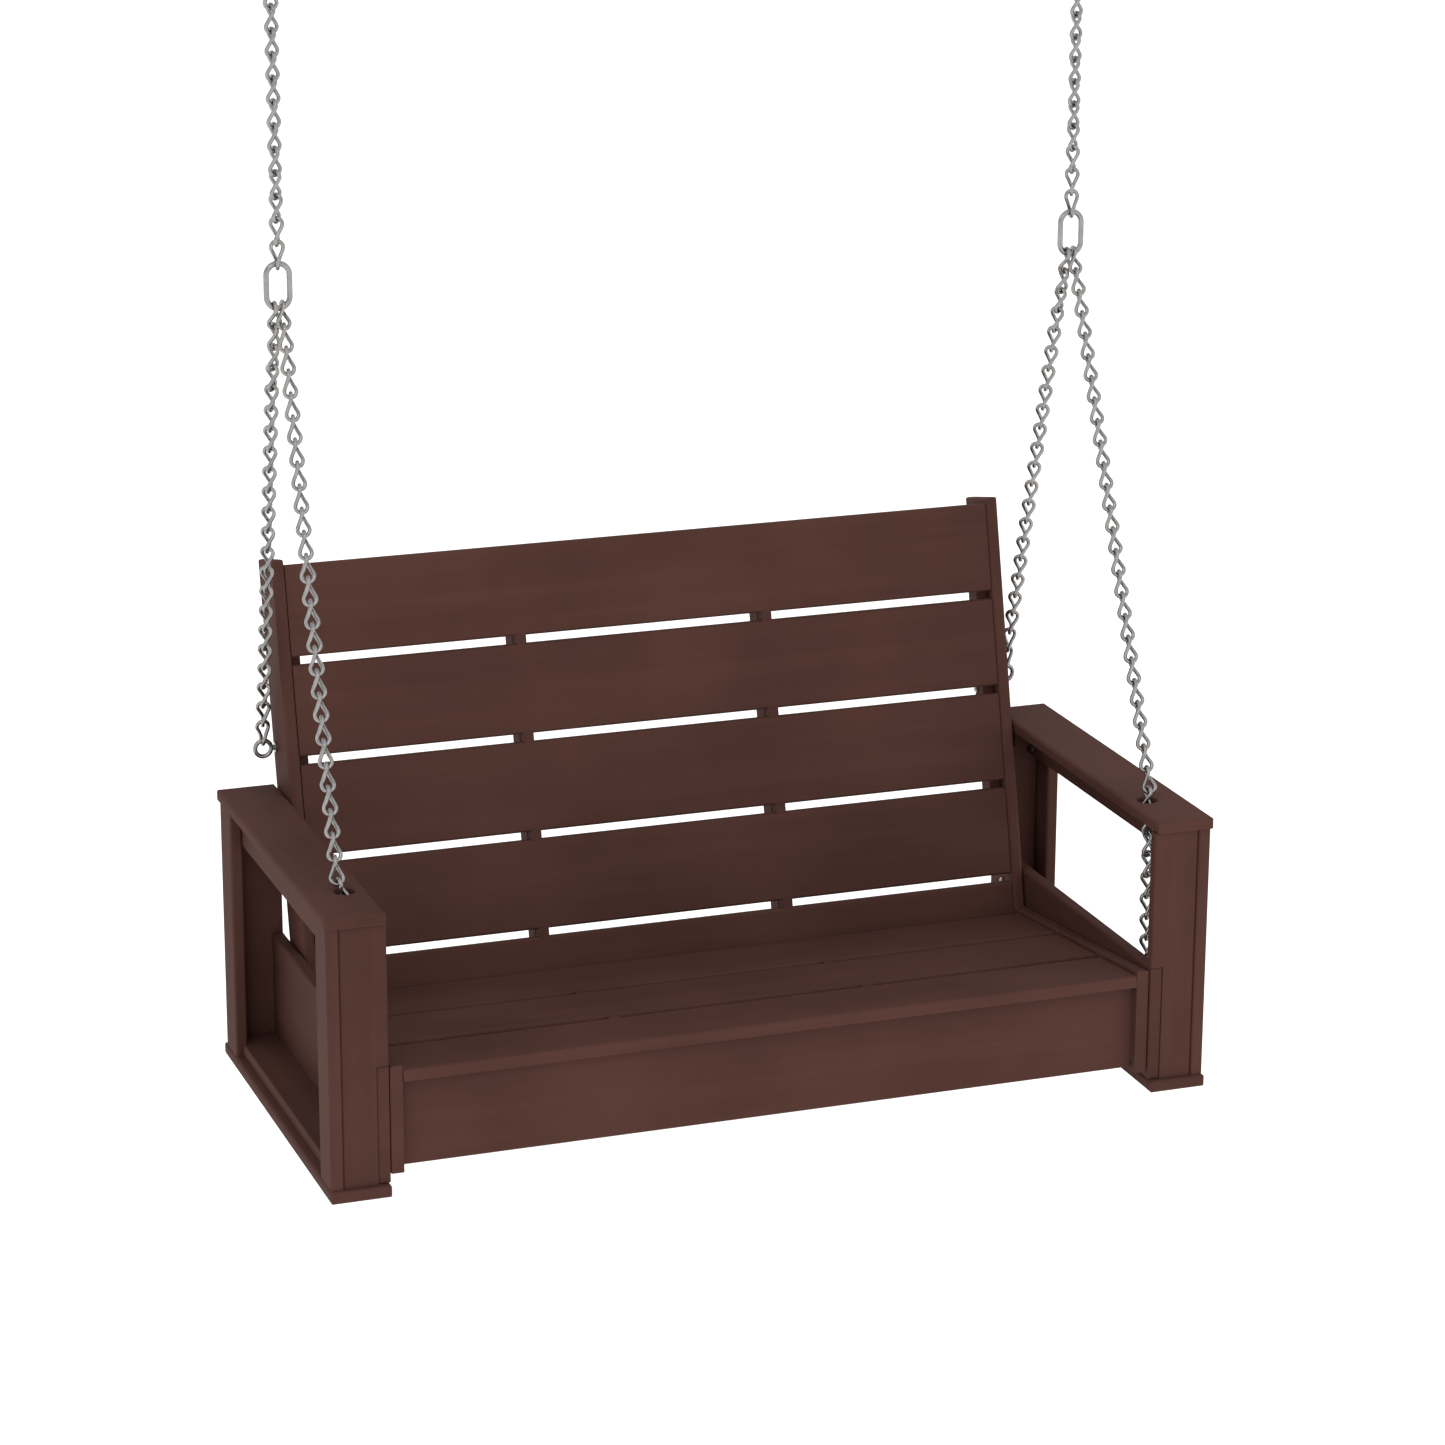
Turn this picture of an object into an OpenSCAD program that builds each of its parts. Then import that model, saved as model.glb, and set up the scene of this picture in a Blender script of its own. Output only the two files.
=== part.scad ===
/* [Seat] */
// Clear width between the two end rails
seat_w = 1154; // [900:2:1400]
// Slope of the seat down toward the back, degrees
seat_tilt = 6.3; // [4:0.1:8]
// Lean of the backrest, degrees
back_lean = 13.2; // [11:0.1:15]
// Thickness of every board
board_t = 19; // [17:0.5:20]
// Radius on the long edges of the boards
edge_r = 4; // [2:0.5:6]

/* [Backrest] */
// Height of one backrest board
row_h = 139.9; // [130:0.1:139.9]
// Gap between two backrest boards
row_gap = 12.4; // [10:0.1:12.4]
// Length of the two side stiles along the lean
stile_l = 789.5; // [785:0.5:820]

/* [Arms] */
// Height of the armrest's underside above the base plate
arm_h = 395; // [385:1:405]
// Length of the armrest, front to back
arm_l = 630; // [625:1:640]
// Length of the base plate, front to back
base_l = 634; // [625:1:640]

/* [Chain] */
// Radius of the chain wire
wire_r = 3; // [2.5:0.1:3]
// Radius of the bow at each end of a link
bow_r = 8.75; // [8.5:0.05:9]
// Length of one link along its wire centre line
link_l = 40.15; // [40:0.05:40.3]

/* [Hidden] */

plastic = [0.34, 0.23, 0.21];
steel = [0.78, 0.79, 0.80];
dark_steel = [0.25, 0.24, 0.24];
round_n = 48;
edge_n = 32;
big = 3000;
fit_gap = 0.05;                    // radial play around a fastener

hang_y = 427.1;                    // the hooks' place behind the front posts' faces
hang_z = 1745;                     // ceiling above the base plate

// arm frames, seen from the middle outward
rail_in = seat_w / 2;              // end rail and stile, inner face
rail_out = rail_in + board_t;
spacer_t = 2;
side_in = rail_out + spacer_t;     // side panel, inner face
side_out = side_in + board_t;
post_w = 71;                       // width of the wide post boards
strip_in = side_in + post_w;
strip_out = strip_in + board_t;
strip_d = 61.3;                    // front-to-back size of the post strips
post_front = 3;                    // wide board stands this far behind the strip
frame_d = 618;                     // posts, front face to rear face
rear_post_y = frame_d - board_t;
side_h = 181;
rail_h = 55;
foot_out = 676.6;
arm_front = -4.2;
arm_in = side_in + 1;
arm_out = strip_out + 3;
arm_top = arm_h + board_t;
base_front = -6.2;
hole_x = 630.5;                      // chain hole through the armrest
hole_y = 106;
hole_r = 15;

// seat and back frames
seat_y = 8.1;
seat_z = 169.8;
rail_rise = 7;                     // end rail stands above the seat
rail_foot = 11.7;                  // underside of rails, stiles and apron
slot_1 = 134.5;
slot_2 = 295.5;
slot_w = 12.5;
seat_d = 452;
panel_half = rail_in - 1;
apron_y = 24.6;
apron_z = 16.4;
rear_rail_y = 425;
bearer_h = 38;
bridge_w = 16;
bridges = [-212, 192];
stile_y = 440.5;
stile_d = 88.7;
panel_set = 3;
panel_back = panel_set + board_t;
rows = 5;
row_top = stile_l - 9.2;
cleat_d = 35;
cleat_low = 215;

// chains
ring_x = 623.7;
ring_z = 1229.4;
ring_w = 43;
ring_h = 74;
ring_r = 4.25;
ring_bow = ring_w / 2 - ring_r;
ring_low = ring_z - ring_h / 2 + ring_r;
ring_high = ring_z + ring_h / 2 - ring_r;
touch = 0.3;                       // gap left where a link bears on another piece
kink_hold = 0.25;                  // extra slack where the front chain bends
pair_x = 6.5;                      // the two chains sit this far each side of the ring's middle
ring_rise = ring_bow - sqrt(ring_bow * ring_bow - pair_x * pair_x);
ring_hold = 5.5;                   // room the ring's sloping wire takes up in a link
pitch = 33.87;
drop_n = 11;
rear_n = 22;
front_n = 25;
post_n = 10;
turn_step = 15;                    // a link may turn this far against the one before
front_turn = -11;                   // how the front chain's links lie above the armrest
rear_turn = 57;                    // how the rear chain's and the lower run's links lie
drop_turn = 12;
eye_r = 12.5;
eye_wire = 3.5;
bolt_r = 4;
rear_eye = [617, 620, 473];
arm_bend = [638.5, 112, 427];      // the front chain bends here, above the armrest
arm_pass = [-6, -7, -31.4];        // and takes this way through the hole
foot_eye = [640, 104, 48];
hook_r = 14;
hook_wire = 4;
hook_shank_r = 4.5;
hook_shank = 60;
flange_t = 3;
last_low = ring_high - ring_r - wire_r - touch;
top_link_z = last_low + link_l / 2 + drop_n * pitch;
hook_low = top_link_z + link_l / 2 - wire_r - hook_wire - touch;
hook_z = hook_low + hook_r;

screw_r = 2.5;
head_r = 6;
head_h = 3.6;
flat_r = 5;
flat_h = 2.5;

module rounded(w, h, r) {
    square([w - 2 * r, h], center = true);
    square([w, h - 2 * r], center = true);
    for (x = [-1, 1], y = [-1, 1])
        translate([x * (w / 2 - r), y * (h / 2 - r)]) circle(r = r, $fn = edge_n);
}
module bar_x(lo, hi, r = edge_r) {
    s = hi - lo;
    translate((lo + hi) / 2) rotate([90, 0, 90])
        linear_extrude(height = s[0], center = true) rounded(s[1], s[2], r);
}
module bar_y(lo, hi, r = edge_r) {
    s = hi - lo;
    translate((lo + hi) / 2) rotate([90, 0, 0])
        linear_extrude(height = s[1], center = true) rounded(s[0], s[2], r);
}
module bar_z(lo, hi, r = edge_r) {
    s = hi - lo;
    translate((lo + hi) / 2) linear_extrude(height = s[2], center = true) rounded(s[0], s[1], r);
}
// a board with every edge rounded
module board(lo, hi, r = edge_r) {
    intersection() {
        bar_x(lo, hi, r);
        bar_y(lo, hi, r);
        bar_z(lo, hi, r);
    }
}

// the model is laid out from the base plates and hangs from the ceiling origin
module hung() { translate([0, -hang_y, -hang_z]) children(); }
module right() { hung() children(); }
module left() { hung() mirror([1, 0, 0]) children(); }
module both() {
    right() children();
    left() children();
}
module seat_frame() { translate([0, seat_y, seat_z]) rotate([-seat_tilt, 0, 0]) children(); }
module back_frame() { translate([0, stile_y, 0]) rotate([-back_lean, 0, 0]) children(); }
module over_seat_line(z) { seat_frame() translate([-big / 2, -big / 2, z]) cube(big); }
module under_foot_line() { translate([-big / 2, -big / 2, rail_foot - big]) cube(big); }
module before_stile() {
    back_frame() translate([-big / 2, -big, -big / 2]) cube(big);
}

// fasteners: the head's seat is at z = 0, the shank runs down; g widens them into holes
module pan_screw(l = 34, g = 0) {
    difference() {
        union() {
            translate([0, 0, -l]) cylinder(h = l + 0.5, r = screw_r + g, $fn = round_n);
            if (g == 0) {
                cylinder(h = head_h / 2, r = head_r, $fn = round_n);
                translate([0, 0, head_h / 2])
                    cylinder(h = head_h / 2, r1 = head_r, r2 = head_r - 2, $fn = round_n);
            }
        }
        if (g == 0) for (a = [0, 90]) rotate(a) translate([-3, -0.6, 1.8]) cube([6, 1.2, 3]);
    }
}
module flat_screw(l = 36, g = 0) {
    translate([0, 0, -l]) cylinder(h = l - flat_h + 0.5, r = screw_r + g, $fn = round_n);
    translate([0, 0, -flat_h]) cylinder(h = flat_h, r1 = screw_r + g, r2 = flat_r + g, $fn = round_n);
}
// a screw whose head lies at the foot of a counterbore
module sunk_screw(l = 36, g = 0, bore = 0) {
    translate([0, 0, -l]) cylinder(h = l + 0.5, r = screw_r + g, $fn = round_n);
    if (g == 0) cylinder(h = head_h / 2, r = head_r - 0.5, $fn = round_n);
    if (bore > 0) cylinder(h = bore, r = head_r, $fn = round_n);
}

// places of the fasteners, on the right-hand side
module at_end_rail_screws() {
    for (p = [[21, 147], [21, 25], [260, 60], [260, 112]])
        translate([rail_in, p[0], p[1]]) rotate([0, -90, 0]) children();
}
module at_cross_screws() {
    for (p = [[apron_y + board_t / 2, 50], [apron_y + board_t / 2, 115],
              [rear_rail_y + board_t / 2, 35], [rear_rail_y + board_t / 2, 80]])
        translate([rail_out, p[0], p[1]]) rotate([0, 90, 0]) children();
}
module at_stile_screws() {
    for (p = [[521, 154], [497, 45]]) translate([rail_in, p[0], p[1]]) rotate([0, -90, 0]) children();
}
module at_cleat_screws() {
    for (s = [300, 482, 655])
        back_frame() translate([rail_in - board_t, panel_back + 26, s]) rotate([0, -90, 0]) children();
}
module at_under_arm_screws() {
    for (y = [42, 576]) translate([strip_in - board_t, y, arm_h - 39]) rotate([0, -90, 0]) children();
}
module at_arm_cleat_screw() { translate([636, frame_d, arm_h - 18]) rotate([-90, 0, 0]) children(); }
module at_base_screws() {
    for (p = [[strip_out - 9, 30], [side_in + 42, post_front + 9.5], [strip_out - 9, frame_d - 30],
              [side_in + 42, frame_d - 9.5], [645, 210], [645, 420], [side_in + 9.5, 160],
              [side_in + 9.5, 460]])
        translate([p[0], p[1], -board_t]) rotate([180, 0, 0]) children();
}
module at_arm_screws() {
    for (y = [170, 340, 510])
        translate([strip_in - board_t / 2, y, arm_h - 24]) rotate([180, 0, 0]) children();
}
module at_back_panel_screws(xs) {
    for (x = xs, k = [0:3]) back_frame()
        translate([x, panel_back + 22, row_top - row_h / 2 - k * (row_h + row_gap)])
            rotate([-90, 0, 0]) children();
}
module at_seat_panel_screws(xs) {
    for (x = xs, y = [80, 221, 380]) seat_frame()
        translate([x, y, -board_t - 22]) rotate([180, 0, 0]) children();
}

module at_post_screws() {
    for (y = [post_front + 11, frame_d - 11])
        translate([side_in, y, arm_h - 11]) rotate([0, -90, 0]) children();
}
// a long screw with a small round head, set just below the surface
module post_screw(g = 0) {
    translate([0, 0, -86]) cylinder(h = 82, r = 2 + g, $fn = round_n);
    translate([0, 0, -5]) cylinder(h = g > 0 ? 6 : 4, r = 3 + g, $fn = round_n);
}

// arm frames
module armrest() {
    color(plastic) difference() {
        board([arm_in, arm_front, arm_h], [arm_out, arm_front + arm_l, arm_top], edge_r + 1.5);
        translate([hole_x, hole_y, arm_h - 1]) cylinder(h = board_t + 2, r = hole_r, $fn = round_n);
        translate([hole_x, hole_y, arm_top - 1.5])
            cylinder(h = 2, r1 = hole_r, r2 = hole_r + 2, $fn = round_n);
        at_arm_screws() sunk_screw(l = 36, g = fit_gap, bore = 31);
    }
}
module under_arm_rail() {
    color(plastic) difference() {
        bar_y([strip_in - board_t, post_front + board_t, arm_h - rail_h], [strip_in, rear_post_y, arm_h]);
        at_arm_screws() sunk_screw(l = 36, g = fit_gap, bore = 33);
        at_under_arm_screws() pan_screw(g = fit_gap);
    }
}
module front_post_board() {
    color(plastic) difference() {
        bar_z([side_in, post_front, 0], [strip_in, post_front + board_t, arm_h]);
        translate([side_in - 1, -1, -1]) cube([board_t + 1, 40, side_h + 1]);
        at_post_screws() post_screw(g = fit_gap);
        at_base_screws() flat_screw(l = 49, g = fit_gap);
    }
}
module front_post_strip() {
    color(plastic) difference() {
        bar_z([strip_in, 0, 0], [strip_out, strip_d, arm_h]);
        at_post_screws() post_screw(g = fit_gap);
        at_base_screws() flat_screw(l = 49, g = fit_gap);
        at_under_arm_screws() pan_screw(g = fit_gap);
    }
}
module rear_post_board() {
    color(plastic) difference() {
        bar_z([side_in, rear_post_y, 0], [strip_in, frame_d, arm_h]);
        at_post_screws() post_screw(g = fit_gap);
        at_base_screws() flat_screw(l = 49, g = fit_gap);
        at_arm_cleat_screw() pan_screw(l = 28, g = fit_gap);
    }
}
module rear_post_strip() {
    color(plastic) difference() {
        bar_z([strip_in, frame_d - strip_d, 0], [strip_out, frame_d, arm_h]);
        at_post_screws() post_screw(g = fit_gap);
        at_base_screws() flat_screw(l = 49, g = fit_gap);
        at_under_arm_screws() pan_screw(g = fit_gap);
    }
}
module base_plate() {
    color(plastic) difference() {
        board([side_in + 0.7, base_front, -board_t], [strip_out + 2, base_front + base_l, 0], edge_r + 1);
        at_base_screws() flat_screw(l = 49, g = fit_gap);
        translate([foot_eye[0], foot_eye[1], -board_t - 1])
            cylinder(h = board_t + 2, r = bolt_r + fit_gap, $fn = round_n);
    }
}
module foot_board() {
    color(plastic) difference() {
        union() {
            bar_y([side_out, post_front + board_t, 0], [strip_in, rear_post_y, board_t], 1);
            bar_y([side_out, strip_d, 0], [foot_out, frame_d - strip_d, board_t], 3);
        }
        at_base_screws() flat_screw(l = 49 - 14, g = fit_gap);
        translate([foot_eye[0], foot_eye[1], -1])
            cylinder(h = board_t + 2, r = bolt_r + fit_gap, $fn = round_n);
    }
}
module side_panel() {
    color(plastic) difference() {
        board([side_in, post_front, 0], [side_out, rear_post_y, side_h]);
        at_base_screws() flat_screw(l = 49, g = fit_gap);
        at_end_rail_screws() flat_screw(g = fit_gap);
        at_stile_screws() pan_screw(g = fit_gap);
    }
}
module arm_cleat() {
    color(plastic) difference() {
        bar_y([622, 587, arm_h - 40], [strip_in - board_t, rear_post_y, arm_h], 5.9);
        at_arm_cleat_screw() pan_screw(l = 28, g = fit_gap);
    }
}

// seat
module seat_end_rail() {
    color(plastic) difference() {
        intersection() {
            seat_frame() bar_y([rail_in, -60, -250], [rail_out, 560, rail_rise]);
            translate([rail_in - 1, seat_y, 0]) cube([board_t + 2, big, big]);
            before_stile();
        }
        under_foot_line();
        at_end_rail_screws() flat_screw(g = fit_gap);
        at_cross_screws() flat_screw(g = fit_gap);
    }
}
module seat_end_cleat() {
    color(plastic) seat_frame() difference() {
        bar_y([rail_in - board_t, 48, -board_t - bearer_h], [rail_in, 416, -board_t], 2);
        for (y = [80, 221, 380])
            translate([rail_in - 9.5, y, -board_t - 22]) rotate([180, 0, 0])
                sunk_screw(g = fit_gap, bore = 20);
    }
}
module seat_panel() {
    color(plastic) difference() {
        seat_frame() {
            bar_x([-panel_half, 0, -board_t], [panel_half, slot_1, 0]);
            bar_x([-panel_half, slot_1 + slot_w, -board_t], [panel_half, slot_2, 0]);
            bar_x([-panel_half, slot_2 + slot_w, -board_t], [panel_half, seat_d, 0]);
            for (x = bridges, y = [slot_1, slot_2])
                translate([x - bridge_w / 2, y - edge_r - 2, -board_t + 0.3])
                    cube([bridge_w, slot_w + 2 * edge_r + 4, board_t - 0.6]);
        }
        at_seat_panel_screws([rail_in - 9.5, -rail_in + 9.5, bridges[0], bridges[1]])
            sunk_screw(g = fit_gap);
    }
}
module seat_bearer(x) {
    color(plastic) difference() {
        seat_frame() bar_y([x - board_t / 2, 42.3, -board_t - bearer_h], [x + board_t / 2, 421, -board_t], 2);
        at_seat_panel_screws([x]) sunk_screw(g = fit_gap, bore = 20);
    }
}
module seat_apron() {
    color(plastic) difference() {
        bar_x([-rail_in, apron_y, apron_z], [rail_in, apron_y + board_t, seat_z], 2);
        over_seat_line(-board_t);
        both_places() at_cross_screws() flat_screw(g = fit_gap);
    }
}
module seat_rear_rail() {
    color(plastic) difference() {
        bar_x([-rail_in, rear_rail_y, apron_z], [rail_in, rear_rail_y + board_t, seat_z], 2);
        over_seat_line(-board_t);
        both_places() at_cross_screws() flat_screw(g = fit_gap);
    }
}
module both_places() {
    children();
    mirror([1, 0, 0]) children();
}

// backrest
module back_stile() {
    color(plastic) difference() {
        back_frame() board([rail_in, 0, -40], [rail_out, stile_d, stile_l], edge_r + 1);
        under_foot_line();
        at_stile_screws() pan_screw(g = fit_gap);
        at_cleat_screws() pan_screw(g = fit_gap);
        translate([rail_in - 1, rear_eye[1], rear_eye[2]]) rotate([0, 90, 0])
            cylinder(h = board_t + 2, r = bolt_r + fit_gap, $fn = round_n);
    }
}
module back_end_cleat() {
    color(plastic) difference() {
        back_frame() bar_z([rail_in - board_t, panel_back, cleat_low],
            [rail_in, panel_back + cleat_d, row_top - 3], 3);
        at_cleat_screws() pan_screw(g = fit_gap);
        at_back_panel_screws([rail_in - 9.5]) sunk_screw(g = fit_gap, bore = 20);
    }
}
module back_panel() {
    color(plastic) difference() {
        back_frame() {
            for (k = [0:rows - 1]) {
                top = row_top - k * (row_h + row_gap);
                bar_x([-panel_half, panel_set, top - row_h], [panel_half, panel_back, top], edge_r + 0.5);
                if (k > 0) for (x = bridges)
                    translate([x - bridge_w / 2, panel_set + 0.3, top - edge_r - 2])
                        cube([bridge_w, board_t - 0.6, row_gap + 2 * edge_r + 4]);
            }
        }
        at_back_panel_screws([rail_in - 9.5, -rail_in + 9.5, bridges[0], bridges[1]])
            sunk_screw(g = fit_gap);
    }
}
module back_batten(x) {
    color(plastic) difference() {
        back_frame() bar_z([x - board_t / 2, panel_back, 48],
            [x + board_t / 2, panel_back + bearer_h, row_top - 6], 3);
        at_back_panel_screws([x]) sunk_screw(g = fit_gap, bore = 20);
    }
}

// hardware
module rear_eye_bolt() {
    color(steel) translate(rear_eye) {
        rotate([90, 0, 0]) rotate_extrude($fn = round_n) translate([eye_r, 0]) circle(r = eye_wire, $fn = 32);
        translate([rail_in - 12 - rear_eye[0], 0, 0]) rotate([0, 90, 0])
            cylinder(h = rear_eye[0] - eye_r - rail_in + 12, r = bolt_r, $fn = round_n);
        translate([rail_out - rear_eye[0], 0, 0]) rotate([0, 90, 0]) cylinder(h = 3, r = 8, $fn = round_n);
    }
}
module front_eye_bolt() {
    color(steel) translate(foot_eye) {
        rotate([90, 0, 0]) rotate_extrude($fn = round_n) translate([eye_r, 0]) circle(r = eye_wire, $fn = 32);
        translate([0, 0, -board_t - foot_eye[2] - 12])
            cylinder(h = foot_eye[2] - eye_r + board_t + 12, r = bolt_r, $fn = round_n);
        translate([0, 0, board_t - foot_eye[2]]) cylinder(h = 2, r = 8, $fn = round_n);
    }
}
module nut_and_washer() {
    difference() {
        union() {
            cylinder(h = 1.6, r = 9, $fn = round_n);
            translate([0, 0, 1.6]) cylinder(h = 6.5, r = 7.5, $fn = 6);
        }
        translate([0, 0, -1]) cylinder(h = 12, r = bolt_r + fit_gap, $fn = round_n);
    }
}
module eye_bolt_nuts() {
    color(steel) both_places() {
        translate([rail_in, rear_eye[1], rear_eye[2]]) rotate([0, -90, 0]) nut_and_washer();
        translate([foot_eye[0], foot_eye[1], -board_t]) rotate([180, 0, 0]) nut_and_washer();
    }
}
module pan_head_screws() {
    color(steel) both_places() {
        at_stile_screws() pan_screw();
        at_cleat_screws() pan_screw();
        at_under_arm_screws() pan_screw();
        at_arm_cleat_screw() pan_screw(l = 28);
    }
}
module flat_head_screws() {
    color(dark_steel) both_places() {
        at_end_rail_screws() flat_screw();
        at_cross_screws() flat_screw();
        at_base_screws() flat_screw(l = 34);
    }
}
module panel_screws() {
    color(dark_steel) {
        at_back_panel_screws([rail_in - 9.5, -rail_in + 9.5, bridges[0], bridges[1]]) sunk_screw();
        at_seat_panel_screws([rail_in - 9.5, -rail_in + 9.5, bridges[0], bridges[1]]) sunk_screw();
    }
}
module arm_screws() { color(dark_steel) both_places() at_arm_screws() sunk_screw(); }
module post_screws() { color(dark_steel) both_places() at_post_screws() post_screw(); }
module spacer() {
    difference() {
        cylinder(h = spacer_t, r = 8, $fn = round_n);
        translate([0, 0, -1]) cylinder(h = spacer_t + 2, r = screw_r + fit_gap, $fn = round_n);
    }
}
module side_spacers() {
    color(dark_steel) both_places() {
        for (p = [[21, 147], [21, 25], [260, 60], [260, 112], [521, 154], [497, 45]])
            translate([rail_out, p[0], p[1]]) rotate([0, 90, 0]) spacer();
    }
}

// chains
module half_bow(r, wire) {
    rotate([90, 0, 0]) rotate_extrude(angle = 180, $fn = round_n)
        translate([r, 0]) circle(r = wire, $fn = 32);
}
module rod(a, b, r) {
    d = b - a;
    translate(a) rotate([0, acos(d[2] / norm(d)), atan2(d[1], d[0])])
        cylinder(h = norm(d), r = r, $fn = round_n);
}
// a twisted link: its upper bow lies front to back, its lower bow side to side;
// hand is -1 on the mirrored side, so that both sides carry the same twist
module link(hand = 1) {
    top = [0, 0, link_l / 2 - bow_r];
    translate(top) rotate(90) half_bow(bow_r, wire_r);
    translate(-top) mirror([0, 0, 1]) half_bow(bow_r, wire_r);
    for (s = [-1, 1]) {
        a = top + [0, s * bow_r, 0];
        b = [hand * s * bow_r, 0, 0] - top;
        rod(a, b, wire_r);
        translate(a) sphere(r = wire_r + 0.02, $fn = round_n);
        translate(b) sphere(r = wire_r + 0.02, $fn = round_n);
    }
}
// turn of link k of n: from 0 at the top to mid, and on to last at the lower end
function link_turn(k, n, mid, last) = last > 0
    ? max(min(mid, turn_step * k), last - turn_step * (n - 1 - k))
    : sign(mid) * min(abs(mid), turn_step * k);
// links from the contact point a down to b; hold is the wire each end link bears on
module chain_run(a, b, n, hold_a, hold_b, mid = 0, last = 0, hand = 1) {
    d = b - a;
    l = norm(d);
    full = l + hold_a + hold_b + 2 * wire_r + 2 * touch;
    step = (full - link_l) / max(1, n - 1);
    turn = atan2(d[1], d[0]);
    translate(a) rotate([0, 0, turn]) rotate([0, -acos(-d[2] / l), 0]) rotate([0, 0, -turn])
        for (k = [0:n - 1])
            translate([0, 0, hold_a + wire_r + touch - link_l / 2 - k * step])
                rotate(hand * link_turn(k, n, mid, last)) link(hand);
}
module ceiling_hook() {
    color(steel) translate([ring_x, hang_y, 0]) {
        translate([0, 0, hook_z]) rotate([90, 0, 0]) rotate([0, 0, 90])
            rotate_extrude(angle = 290, $fn = round_n) translate([hook_r, 0]) circle(r = hook_wire, $fn = 32);
        translate([0, 0, hook_z + hook_r])
            cylinder(h = hang_z - hook_z - hook_r + hook_shank, r = hook_shank_r, $fn = round_n);
        translate([0, 0, hook_z + hook_r]) sphere(r = hook_shank_r, $fn = round_n);
        translate([0, 0, hang_z - flange_t]) cylinder(h = flange_t, r = 16, $fn = round_n);
    }
}
module top_link(hand = 1) {
    color(steel) translate([ring_x, hang_y, top_link_z]) link(hand);
}
module drop_chain(hand = 1) {
    color(steel) for (k = [0:drop_n - 1])
        translate([ring_x, hang_y, last_low + link_l / 2 + k * pitch])
            rotate(hand * max(drop_turn, 78 - turn_step * k)) link(hand);
}
module ring() {
    color(steel) translate([ring_x, hang_y, ring_z]) {
        leg = ring_h / 2 - ring_w / 2;
        for (s = [0, 1]) mirror([0, 0, s]) translate([0, 0, leg]) half_bow(ring_bow, ring_r);
        for (s = [-1, 1]) translate([s * ring_bow, 0, -leg]) cylinder(h = 2 * leg, r = ring_r, $fn = round_n);
    }
}
module front_chain(hand = 1) {
    ring_pt = [ring_x + hand * pair_x, hang_y, ring_low + ring_rise];
    through = arm_pass / norm(arm_pass) * (link_l - 2 * (kink_hold + wire_r + touch));
    under_arm = arm_bend + through;
    foot_pt = foot_eye + [0, 0, eye_r];
    color(steel) {
        chain_run(ring_pt, arm_bend, front_n, ring_hold, kink_hold, front_turn, 0, hand);
        chain_run(arm_bend, under_arm, 1, kink_hold, kink_hold, hand = hand);
        chain_run(under_arm, foot_pt, post_n, kink_hold, eye_wire, rear_turn, 90, hand);
    }
}
module rear_chain(hand = 1) {
    ring_pt = [ring_x - hand * pair_x, hang_y, ring_low + ring_rise];
    eye_pt = rear_eye + [0, 0, eye_r];
    color(steel) chain_run(ring_pt, eye_pt, rear_n, ring_hold, eye_wire, rear_turn, 90, hand);
}

left() armrest();  // left_armrest
right() armrest();  // right_armrest
left() under_arm_rail();  // left_under_arm_rail
right() under_arm_rail();  // right_under_arm_rail
left() front_post_board();  // left_front_post_board
right() front_post_board();  // right_front_post_board
left() front_post_strip();  // left_front_post_strip
right() front_post_strip();  // right_front_post_strip
left() rear_post_board();  // left_rear_post_board
right() rear_post_board();  // right_rear_post_board
left() rear_post_strip();  // left_rear_post_strip
right() rear_post_strip();  // right_rear_post_strip
left() base_plate();  // left_base_plate
right() base_plate();  // right_base_plate
left() foot_board();  // left_foot_board
right() foot_board();  // right_foot_board
left() side_panel();  // left_side_panel
right() side_panel();  // right_side_panel
left() arm_cleat();  // left_arm_cleat
right() arm_cleat();  // right_arm_cleat
left() seat_end_rail();  // left_seat_end_rail
right() seat_end_rail();  // right_seat_end_rail
left() seat_end_cleat();  // left_seat_end_cleat
right() seat_end_cleat();  // right_seat_end_cleat
left() back_stile();  // left_back_stile
right() back_stile();  // right_back_stile
left() back_end_cleat();  // left_back_end_cleat
right() back_end_cleat();  // right_back_end_cleat
hung() back_panel();
hung() back_batten(bridges[0]);  // left_back_batten
hung() back_batten(bridges[1]);  // right_back_batten
hung() seat_panel();
hung() seat_bearer(bridges[0]);  // left_seat_bearer
hung() seat_bearer(bridges[1]);  // right_seat_bearer
hung() seat_apron();
hung() seat_rear_rail();
left() rear_eye_bolt();  // left_rear_eye_bolt
right() rear_eye_bolt();  // right_rear_eye_bolt
left() front_eye_bolt();  // left_front_eye_bolt
right() front_eye_bolt();  // right_front_eye_bolt
hung() eye_bolt_nuts();
hung() pan_head_screws();
hung() flat_head_screws();
hung() panel_screws();
hung() arm_screws();
hung() post_screws();
hung() side_spacers();
left() ceiling_hook();  // left_ceiling_hook
right() ceiling_hook();  // right_ceiling_hook
left() top_link(-1);  // left_top_link
right() top_link();  // right_top_link
left() drop_chain(-1);  // left_drop_chain
right() drop_chain();  // right_drop_chain
left() ring();  // left_ring
right() ring();  // right_ring
left() front_chain(-1);  // left_front_chain
right() front_chain();  // right_front_chain
left() rear_chain(-1);  // left_rear_chain
right() rear_chain();  // right_rear_chain
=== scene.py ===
import math

import bmesh
import bpy
import numpy as np
from mathutils import Matrix, Vector


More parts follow.
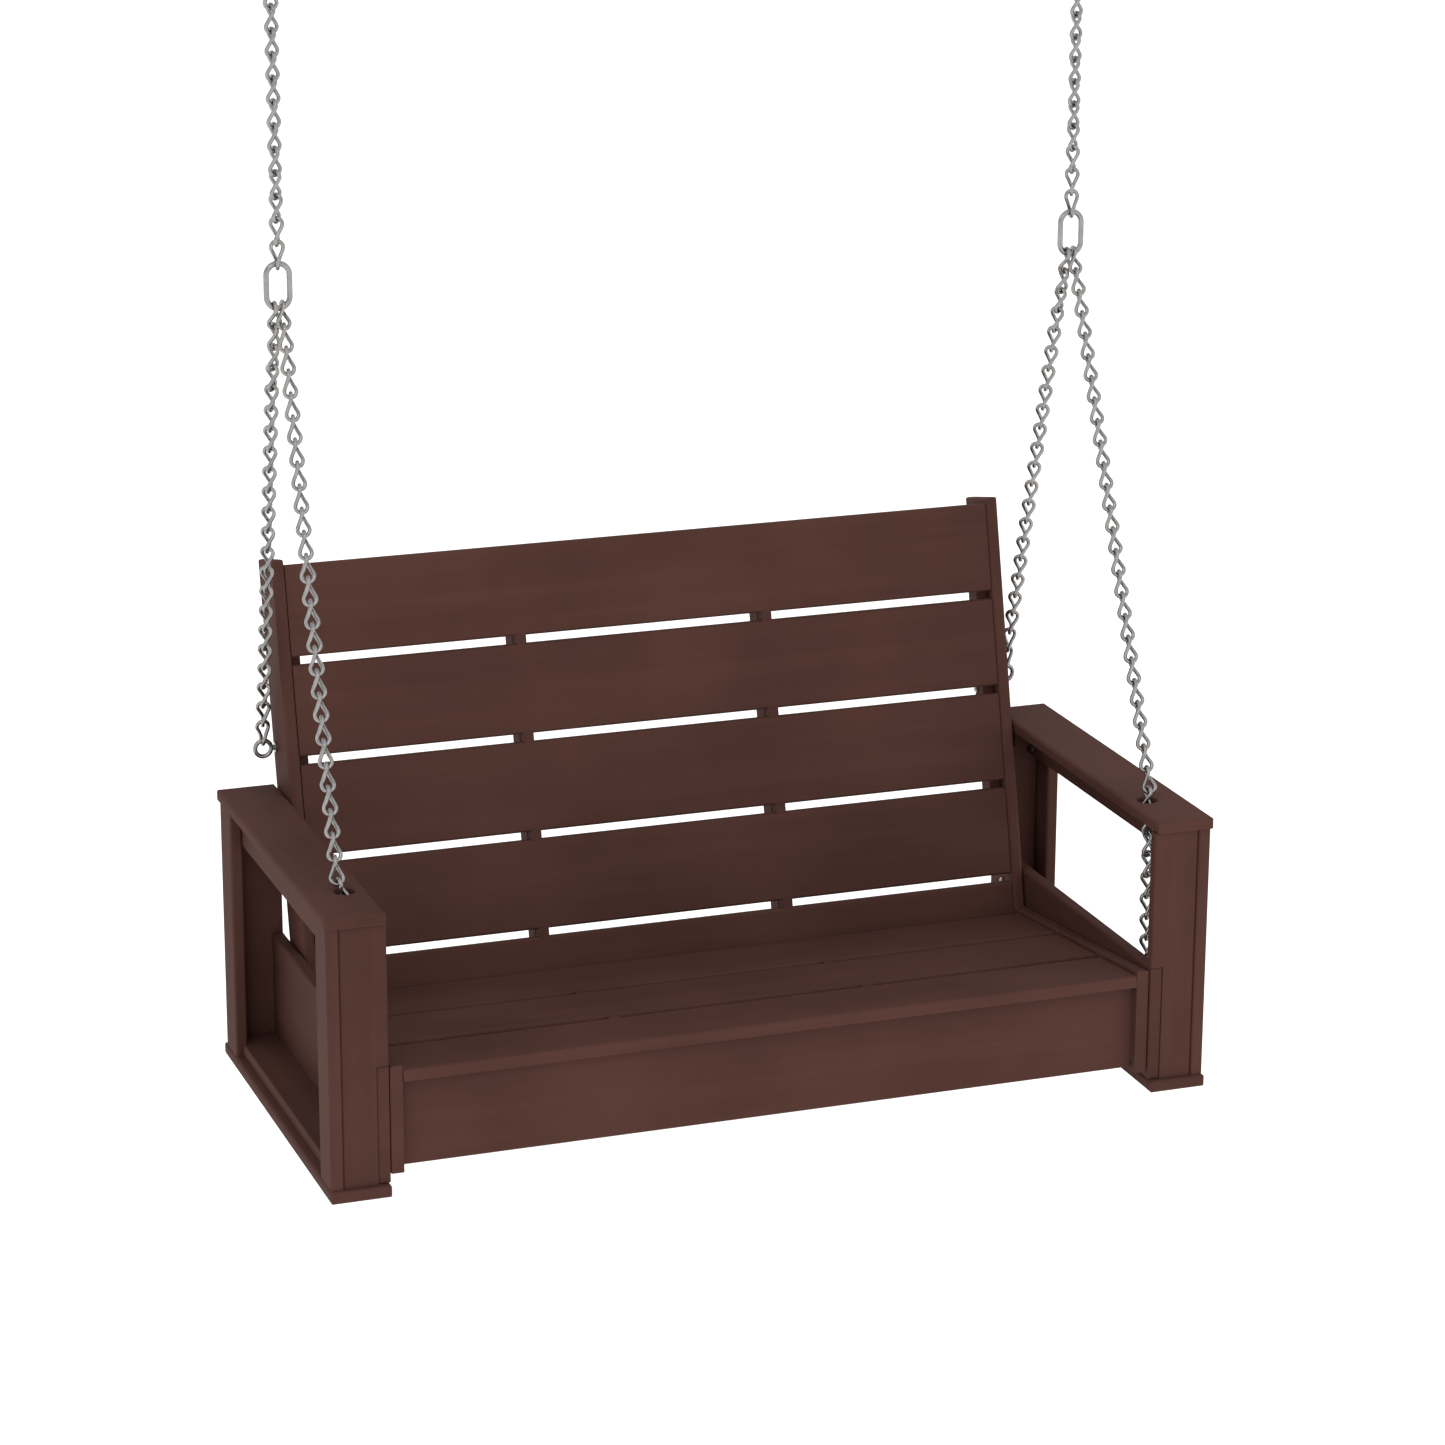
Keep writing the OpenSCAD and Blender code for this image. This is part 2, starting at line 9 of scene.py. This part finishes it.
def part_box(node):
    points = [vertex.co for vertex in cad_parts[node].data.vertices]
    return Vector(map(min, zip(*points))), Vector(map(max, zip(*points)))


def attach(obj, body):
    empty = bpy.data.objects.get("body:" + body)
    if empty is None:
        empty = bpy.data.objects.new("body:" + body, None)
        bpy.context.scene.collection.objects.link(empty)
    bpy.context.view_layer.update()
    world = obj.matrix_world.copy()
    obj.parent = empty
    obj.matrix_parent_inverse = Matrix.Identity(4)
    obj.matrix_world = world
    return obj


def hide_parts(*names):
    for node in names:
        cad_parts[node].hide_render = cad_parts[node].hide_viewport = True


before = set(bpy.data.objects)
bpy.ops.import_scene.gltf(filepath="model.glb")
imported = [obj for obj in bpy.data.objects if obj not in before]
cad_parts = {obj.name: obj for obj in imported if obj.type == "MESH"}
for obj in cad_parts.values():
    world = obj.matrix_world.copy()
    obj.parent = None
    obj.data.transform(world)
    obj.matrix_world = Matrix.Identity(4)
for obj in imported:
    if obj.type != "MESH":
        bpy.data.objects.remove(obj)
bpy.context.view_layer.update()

# ------------------------------------------------------------------ sizes, metres
FLOOR_DROP = 0.27                  # floor below the base plates
LEAN = math.radians(13.2)          # backrest
TILT = math.radians(6.3)           # seat

WIRE_R = 0.003                     # chain wire
BOW_R = 0.00875                    # bow at each end of a link, on the wire's centre line
PINCH = 0.26                       # how far a link's legs draw in at the middle
LEG_EASE = 0.35                    # how gently a leg's turn starts and ends
END_BAND = 0.004                   # stretch of a link's end that shows how its bow lies
BOW_STEPS = 14
LEG_STEPS = 12
WIRE_SIDES = 16
WELD = 1e-6                        # points closer than this are one point

# ------------------------------------------------------------------ camera
SENSOR = 36.0                                  # millimetres
LENS = 111.0953                                # millimetres
SHIFT = (-0.0026955, 0.0001612)                # shares of the picture's width
CAMERA_AT = (-2.18263, -6.15412, 0.78451)
CAMERA_TURN = (-20.0737, -17.2031, -0.2464)    # yaw, pitch, roll, degrees

# ------------------------------------------------------------------ studio
FLOOR_SIZE = 60.0
FLOOR_GREY = 0.60
FLOOR_GLOW = 0.72                  # keeps the shade under the swing faint
AIM = (0.0, 0.0, -1.3)
# name, place, size, watts
SOFTBOXES = (
    ("key_light", (-2.6, -4.2, 2.6), (1.4, 1.0), 30.0),
    ("fill_light", (4.2, -3.0, 1.2), (1.6, 1.6), 8.0),
)

# ------------------------------------------------------------------ colours, linear
BOARD = (0.0755, 0.0325, 0.0255)
BOARD_DARK = (0.060, 0.0253, 0.0196)
BOARD_PALE = (0.094, 0.0425, 0.034)
EDGE_HIGHLIGHT = 1.3                         # painted highlight on rounded edges, as a multiple of the pale grain
TINT_STEP = 0.05                   # boards differ by up to this share in brightness
ZINC_COOL = (0.27, 0.265, 0.26)
ZINC_WARM = (0.34, 0.33, 0.32)
ZINC_DULL = (0.17, 0.165, 0.16)
BLACK_LOW = (0.012, 0.011, 0.011)
BLACK_HIGH = (0.035, 0.032, 0.030)

# Noise is drawn out along the grain by shrinking its coordinates on that axis.
ALONG = 0.035
ACROSS = (ALONG, 1.0, 1.0)
DEEP = (1.0, ALONG, 1.0)
UPRIGHT = (1.0, 1.0, ALONG)
EVEN = (1.0, 1.0, 1.0)
STRAIGHT = (0.0, 0.0, 0.0)

scene = bpy.context.scene
scene.view_settings.view_transform = "Standard"


# ------------------------------------------------------------------ shader helpers
class Graph:
    """A material and short names for the nodes it is built from."""

    def __init__(self, name):
        self.mat = bpy.data.materials.new(name)
        self.mat.use_nodes = True
        self.tree = self.mat.node_tree
        self.bsdf = self.tree.nodes["Principled BSDF"]

    def node(self, kind, **inputs):
        n = self.tree.nodes.new(kind)
        for key, value in inputs.items():
            n.inputs[key.replace("_", " ")].default_value = value
        return n

    def link(self, a, b):
        self.tree.links.new(a, b)

    def feed(self, socket_name, output):
        self.link(output, self.bsdf.inputs[socket_name])

    def fix(self, socket_name, value):
        self.bsdf.inputs[socket_name].default_value = value

    def coords(self, scale, turn=STRAIGHT, offset=STRAIGHT):
        co = self.node("ShaderNodeTexCoord")
        mp = self.node("ShaderNodeMapping")
        mp.inputs["Rotation"].default_value = turn
        mp.inputs["Scale"].default_value = scale
        mp.inputs["Location"].default_value = offset
        self.link(co.outputs["Object"], mp.inputs["Vector"])
        return mp.outputs["Vector"]

    def noise(self, vector, scale, detail, rough):
        n = self.node("ShaderNodeTexNoise", Scale=scale, Detail=detail, Roughness=rough)
        self.link(vector, n.inputs["Vector"])
        return n.outputs["Fac"]

    def ramp(self, value, lo, hi, out_lo=0.0, out_hi=1.0):
        n = self.node("ShaderNodeMapRange")
        n.inputs["From Min"].default_value = lo
        n.inputs["From Max"].default_value = hi
        n.inputs["To Min"].default_value = out_lo
        n.inputs["To Max"].default_value = out_hi
        self.link(value, n.inputs["Value"])
        return n.outputs["Result"]

    def mix(self, fac, a, b):
        """Mixes two colours, each a tuple or another node's output."""
        n = self.node("ShaderNodeMix")
        n.data_type = "RGBA"
        for socket, value in ((n.inputs[6], a), (n.inputs[7], b)):
            if isinstance(value, tuple):
                socket.default_value = (*value, 1.0)
            else:
                self.link(value, socket)
        self.link(fac, n.inputs[0])
        return n.outputs[2]

    def add(self, a, b):
        n = self.node("ShaderNodeMath")
        n.operation = "ADD"
        self.link(a, n.inputs[0])
        self.link(b, n.inputs[1])
        return n.outputs[0]

    def bump(self, height, strength, distance, below=None):
        n = self.node("ShaderNodeBump", Strength=strength, Distance=distance)
        self.link(height, n.inputs["Height"])
        if below is not None:
            self.link(below, n.inputs["Normal"])
        return n.outputs["Normal"]


def scaled(colour, factor):
    return tuple(c * factor for c in colour)


def lumber(name, turn, stretch, shift, tint):
    """Satin brown plastic lumber with a fine grain drawn along the board."""
    g = Graph(name)
    flow = g.coords(stretch, turn, shift)
    even = g.coords(EVEN, STRAIGHT, shift)
    streak = g.noise(flow, 34.0, 5.0, 0.6)
    fine = g.noise(flow, 260.0, 3.0, 0.6)
    cloud = g.noise(even, 5.0, 3.0, 0.5)
    speck = g.noise(even, 900.0, 2.0, 0.7)

    dark = scaled(BOARD_DARK, tint)
    pale = scaled(BOARD_PALE, tint)
    colour = g.mix(g.ramp(cloud, 0.35, 0.65), dark, scaled(BOARD, tint))
    colour = g.mix(g.ramp(streak, 0.42, 0.72, 0.0, 0.4), colour, pale)
    colour = g.mix(g.ramp(fine, 0.55, 0.8, 0.0, 0.35), colour, dark)
    # painted highlight: convex rounded edges are lightened towards the pale grain, as if light
    # catches them
    edge = g.node("ShaderNodeNewGeometry").outputs["Pointiness"]
    colour = g.mix(g.ramp(edge, 0.52, 0.60, 0.0, 0.12), colour, scaled(pale, EDGE_HIGHLIGHT))
    g.feed("Base Color", colour)

    patches = g.ramp(cloud, 0.3, 0.7, 0.68, 0.76)
    g.feed("Roughness", g.add(patches, g.ramp(streak, 0.3, 0.7, -0.03, 0.05)))
    g.fix("IOR", 1.35)
    g.fix("Specular IOR Level", 0.10)

    low = g.bump(streak, 0.25, 0.0006)
    mid = g.bump(fine, 0.20, 0.00015, low)
    g.feed("Normal", g.bump(speck, 0.16, 0.0001, mid))
    return g.mat


def zinc(name):
    """Zinc plating with a faint drift of colour and dull rubbed spots."""
    g = Graph(name)
    even = g.coords(EVEN)
    cloud = g.noise(even, 60.0, 3.0, 0.6)
    fine = g.noise(even, 900.0, 3.0, 0.6)
    colour = g.mix(g.ramp(cloud, 0.35, 0.65), ZINC_COOL, ZINC_WARM)
    g.feed("Base Color", g.mix(g.ramp(fine, 0.55, 0.75, 0.0, 0.5), colour, ZINC_DULL))
    g.fix("Metallic", 1.0)
    g.feed("Roughness", g.ramp(cloud, 0.3, 0.7, 0.22, 0.38))
    g.feed("Normal", g.bump(fine, 0.12, 0.00008))
    return g.mat


def blackened(name):
    """Blackened screws, a little uneven."""
    g = Graph(name)
    fine = g.noise(g.coords(EVEN), 500.0, 3.0, 0.6)
    g.feed("Base Color", g.mix(g.ramp(fine, 0.4, 0.7), BLACK_LOW, BLACK_HIGH))
    g.feed("Roughness", g.ramp(fine, 0.3, 0.7, 0.38, 0.55))
    g.feed("Normal", g.bump(fine, 0.1, 0.00006))
    return g.mat


# ------------------------------------------------------------------ boards
# grain direction by node, and how far the board leans
GRAIN = {
    "armrest": (DEEP, 0.0),
    "under_arm_rail": (DEEP, 0.0),
    "front_post_board": (UPRIGHT, 0.0),
    "front_post_strip": (UPRIGHT, 0.0),
    "rear_post_board": (UPRIGHT, 0.0),
    "rear_post_strip": (UPRIGHT, 0.0),
    "base_plate": (DEEP, 0.0),
    "foot_board": (DEEP, 0.0),
    "side_panel": (DEEP, 0.0),
    "arm_cleat": (UPRIGHT, 0.0),
    "seat_end_rail": (DEEP, TILT),
    "seat_end_cleat": (DEEP, TILT),
    "back_stile": (UPRIGHT, LEAN),
    "back_end_cleat": (UPRIGHT, LEAN),
    "back_panel": (ACROSS, LEAN),
    "back_batten": (UPRIGHT, LEAN),
    "seat_panel": (ACROSS, TILT),
    "seat_bearer": (DEEP, TILT),
    "seat_apron": (ACROSS, 0.0),
    "seat_rear_rail": (ACROSS, 0.0),
}
DARK_STEEL = ("flat_head_screws", "panel_screws", "arm_screws", "post_screws", "side_spacers")

steel = zinc("zinc_steel")
black = blackened("black_steel")


def paint(obj, mat):
    for s in obj.material_slots:
        s.material = mat
    if not obj.material_slots:
        obj.data.materials.append(mat)


for index, name in enumerate(sorted(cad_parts)):
    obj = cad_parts[name]
    plain = name.replace("left_", "").replace("right_", "")
    if plain in GRAIN:
        stretch, lean = GRAIN[plain]
        shift = (index * 0.37, index * 0.53, index * 0.71)     # no two boards share a grain
        tint = 1.0 + TINT_STEP * math.sin(index * 2.4)
        paint(obj, lumber("lumber_" + name, (lean, 0.0, 0.0), stretch, shift, tint))
    elif name in DARK_STEEL:
        paint(obj, black)
    else:
        paint(obj, steel)


# ------------------------------------------------------------------ twisted links
def loose_parts(obj):
    """The separate solids of a node, as arrays of points, from the top down."""
    bm = bmesh.new()
    bm.from_mesh(obj.data)
    bm.transform(obj.matrix_world)
    bmesh.ops.remove_doubles(bm, verts=bm.verts, dist=WELD)
    seen = set()
    parts = []
    for v in bm.verts:
        if v in seen:
            continue
        seen.add(v)
        queue, group = [v], []
        while queue:
            w = queue.pop()
            group.append(tuple(w.co))
            for e in w.link_edges:
                o = e.other_vert(w)
                if o not in seen:
                    seen.add(o)
                    queue.append(o)
        parts.append(np.array(group))
    bm.free()
    return sorted(parts, key=lambda p: -p[:, 2].mean())


def longest(flat):
    """The direction in which centred points spread most."""
    return np.linalg.eigh(flat.T @ flat)[1][:, -1]


def spread(points, axis):
    """The direction across axis in which the points spread most."""
    flat = points - points.mean(axis=0)
    return longest(flat - np.outer(flat @ axis, axis))


def link_path(points):
    """Centre line of one twisted link, fitted to the solid it stands for."""
    axis = longest(points - points.mean(axis=0))
    axis = axis * math.copysign(1.0, axis[2])
    mid = (points.min(axis=0) + points.max(axis=0)) / 2
    along = (points - mid) @ axis
    shift = (along.max() + along.min()) / 2
    mid = mid + axis * shift
    along = along - shift
    half = along.max() - WIRE_R
    high = half - BOW_R
    up = spread(points[along > half - END_BAND], axis)
    low = spread(points[along < -(half - END_BAND)], axis)
    low = low - up * (low @ up)
    low = low / np.linalg.norm(low)
    if np.cross(up, low) @ axis > 0:           # all the links twist the same way
        low = -low

    def bow(end, across):
        angles = (math.pi * k / BOW_STEPS for k in range(BOW_STEPS + 1))
        return [mid + axis * end * (high + BOW_R * math.sin(a)) - across * end * BOW_R * math.cos(a)
                for a in angles]

    def leg(side):
        out = []
        for k in range(1, LEG_STEPS):
            t = k / LEG_STEPS
            turn = math.pi / 2 * (t - math.sin(2 * math.pi * t) / (2 * math.pi) * LEG_EASE)
            r = BOW_R * (1 - PINCH * math.sin(math.pi * t) ** 2)
            swing = up * math.cos(turn) + low * math.sin(turn)
            out.append(mid + axis * high * (1 - 2 * t) + swing * r * side)
        return out

    return np.array(bow(1, up) + leg(1) + bow(-1, low) + leg(-1)[::-1])


def tube(bm, path, radius):
    """A closed tube round the path, its rings carried along without twist."""
    n = len(path)
    tangent = np.roll(path, -1, axis=0) - np.roll(path, 1, axis=0)
    tangent /= np.linalg.norm(tangent, axis=1)[:, None]
    normal = np.cross(tangent[0], [0.31, 0.62, 0.72])          # any direction off the path will do
    normal /= np.linalg.norm(normal)
    frames = [normal]
    for k in range(1, n + 1):
        t = tangent[k % n]
        normal = normal - t * (normal @ t)
        normal /= np.linalg.norm(normal)
        frames.append(normal)
    slip = math.atan2(np.cross(frames[0], frames[-1]) @ tangent[0], frames[0] @ frames[-1])
    rings = []
    for k in range(n):
        a = frames[k]
        b = np.cross(tangent[k], a)
        ring = []
        for j in range(WIRE_SIDES):
            ang = 2 * math.pi * j / WIRE_SIDES - slip * k / n
            ring.append(bm.verts.new(path[k] + radius * (a * math.cos(ang) + b * math.sin(ang))))
        rings.append(ring)
    for k in range(n):
        here, there = rings[k], rings[(k + 1) % n]
        for j in range(WIRE_SIDES):
            m = (j + 1) % WIRE_SIDES
            bm.faces.new((here[j], there[j], there[m], here[m]))


def twisted(node, body):
    """Puts smooth twisted links in place of a chain node's plain ones."""
    bm = bmesh.new()
    for points in loose_parts(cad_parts[node]):
        tube(bm, link_path(points), WIRE_R)
    bmesh.ops.recalc_face_normals(bm, faces=bm.faces)
    mesh = bpy.data.meshes.new(node + "_twisted")
    bm.to_mesh(mesh)
    bm.free()
    for f in mesh.polygons:
        f.use_smooth = True
    obj = bpy.data.objects.new(node + "_twisted", mesh)
    scene.collection.objects.link(obj)
    mesh.materials.append(steel)
    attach(obj, body)
    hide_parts(node)


for side in ("left", "right"):
    twisted(side + "_top_link", side + "_top")
    twisted(side + "_drop_chain", side + "_drop")
    twisted(side + "_front_chain", "seat")
    twisted(side + "_rear_chain", "seat")


# ------------------------------------------------------------------ floor, light, camera
floor_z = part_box("left_base_plate")[0][2] - FLOOR_DROP
bpy.ops.mesh.primitive_plane_add(size=FLOOR_SIZE, location=(0.0, 0.0, floor_z))
floor = bpy.context.object
floor.name = "floor"
g = Graph("floor_white")
g.fix("Base Color", (FLOOR_GREY, FLOOR_GREY, FLOOR_GREY, 1.0))
g.fix("Roughness", 0.9)
g.fix("Specular IOR Level", 0.1)
g.fix("Emission Color", (1.0, 1.0, 1.0, 1.0))
g.fix("Emission Strength", FLOOR_GLOW)
paint(floor, g.mat)

world = bpy.data.worlds.new("studio")
scene.world = world
world.use_nodes = True
world.node_tree.nodes["Background"].inputs["Color"].default_value = (1.0, 1.0, 1.0, 1.0)
world.node_tree.nodes["Background"].inputs["Strength"].default_value = 1.0


def softbox(name, at, size, power):
    data = bpy.data.lights.new(name, "AREA")
    data.shape = "RECTANGLE"
    data.size, data.size_y = size
    data.energy = power
    obj = bpy.data.objects.new(name, data)
    scene.collection.objects.link(obj)
    obj.location = at
    obj.rotation_euler = (Vector(AIM) - Vector(at)).to_track_quat("-Z", "Y").to_euler()


for box in SOFTBOXES:
    softbox(*box)

cam_data = bpy.data.cameras.new("camera")
cam_data.sensor_width = SENSOR
cam_data.lens = LENS
cam_data.shift_x, cam_data.shift_y = SHIFT
camera = bpy.data.objects.new("camera", cam_data)
scene.collection.objects.link(camera)
yaw, pitch, roll = (math.radians(a) for a in CAMERA_TURN)
camera.matrix_world = (
    Matrix.Translation(CAMERA_AT)
    @ Matrix.Rotation(yaw, 4, "Z")
    @ Matrix.Rotation(pitch, 4, "X")
    @ Matrix.Rotation(roll, 4, "Y")
    @ Matrix.Rotation(math.pi / 2, 4, "X")
)
scene.camera = camera
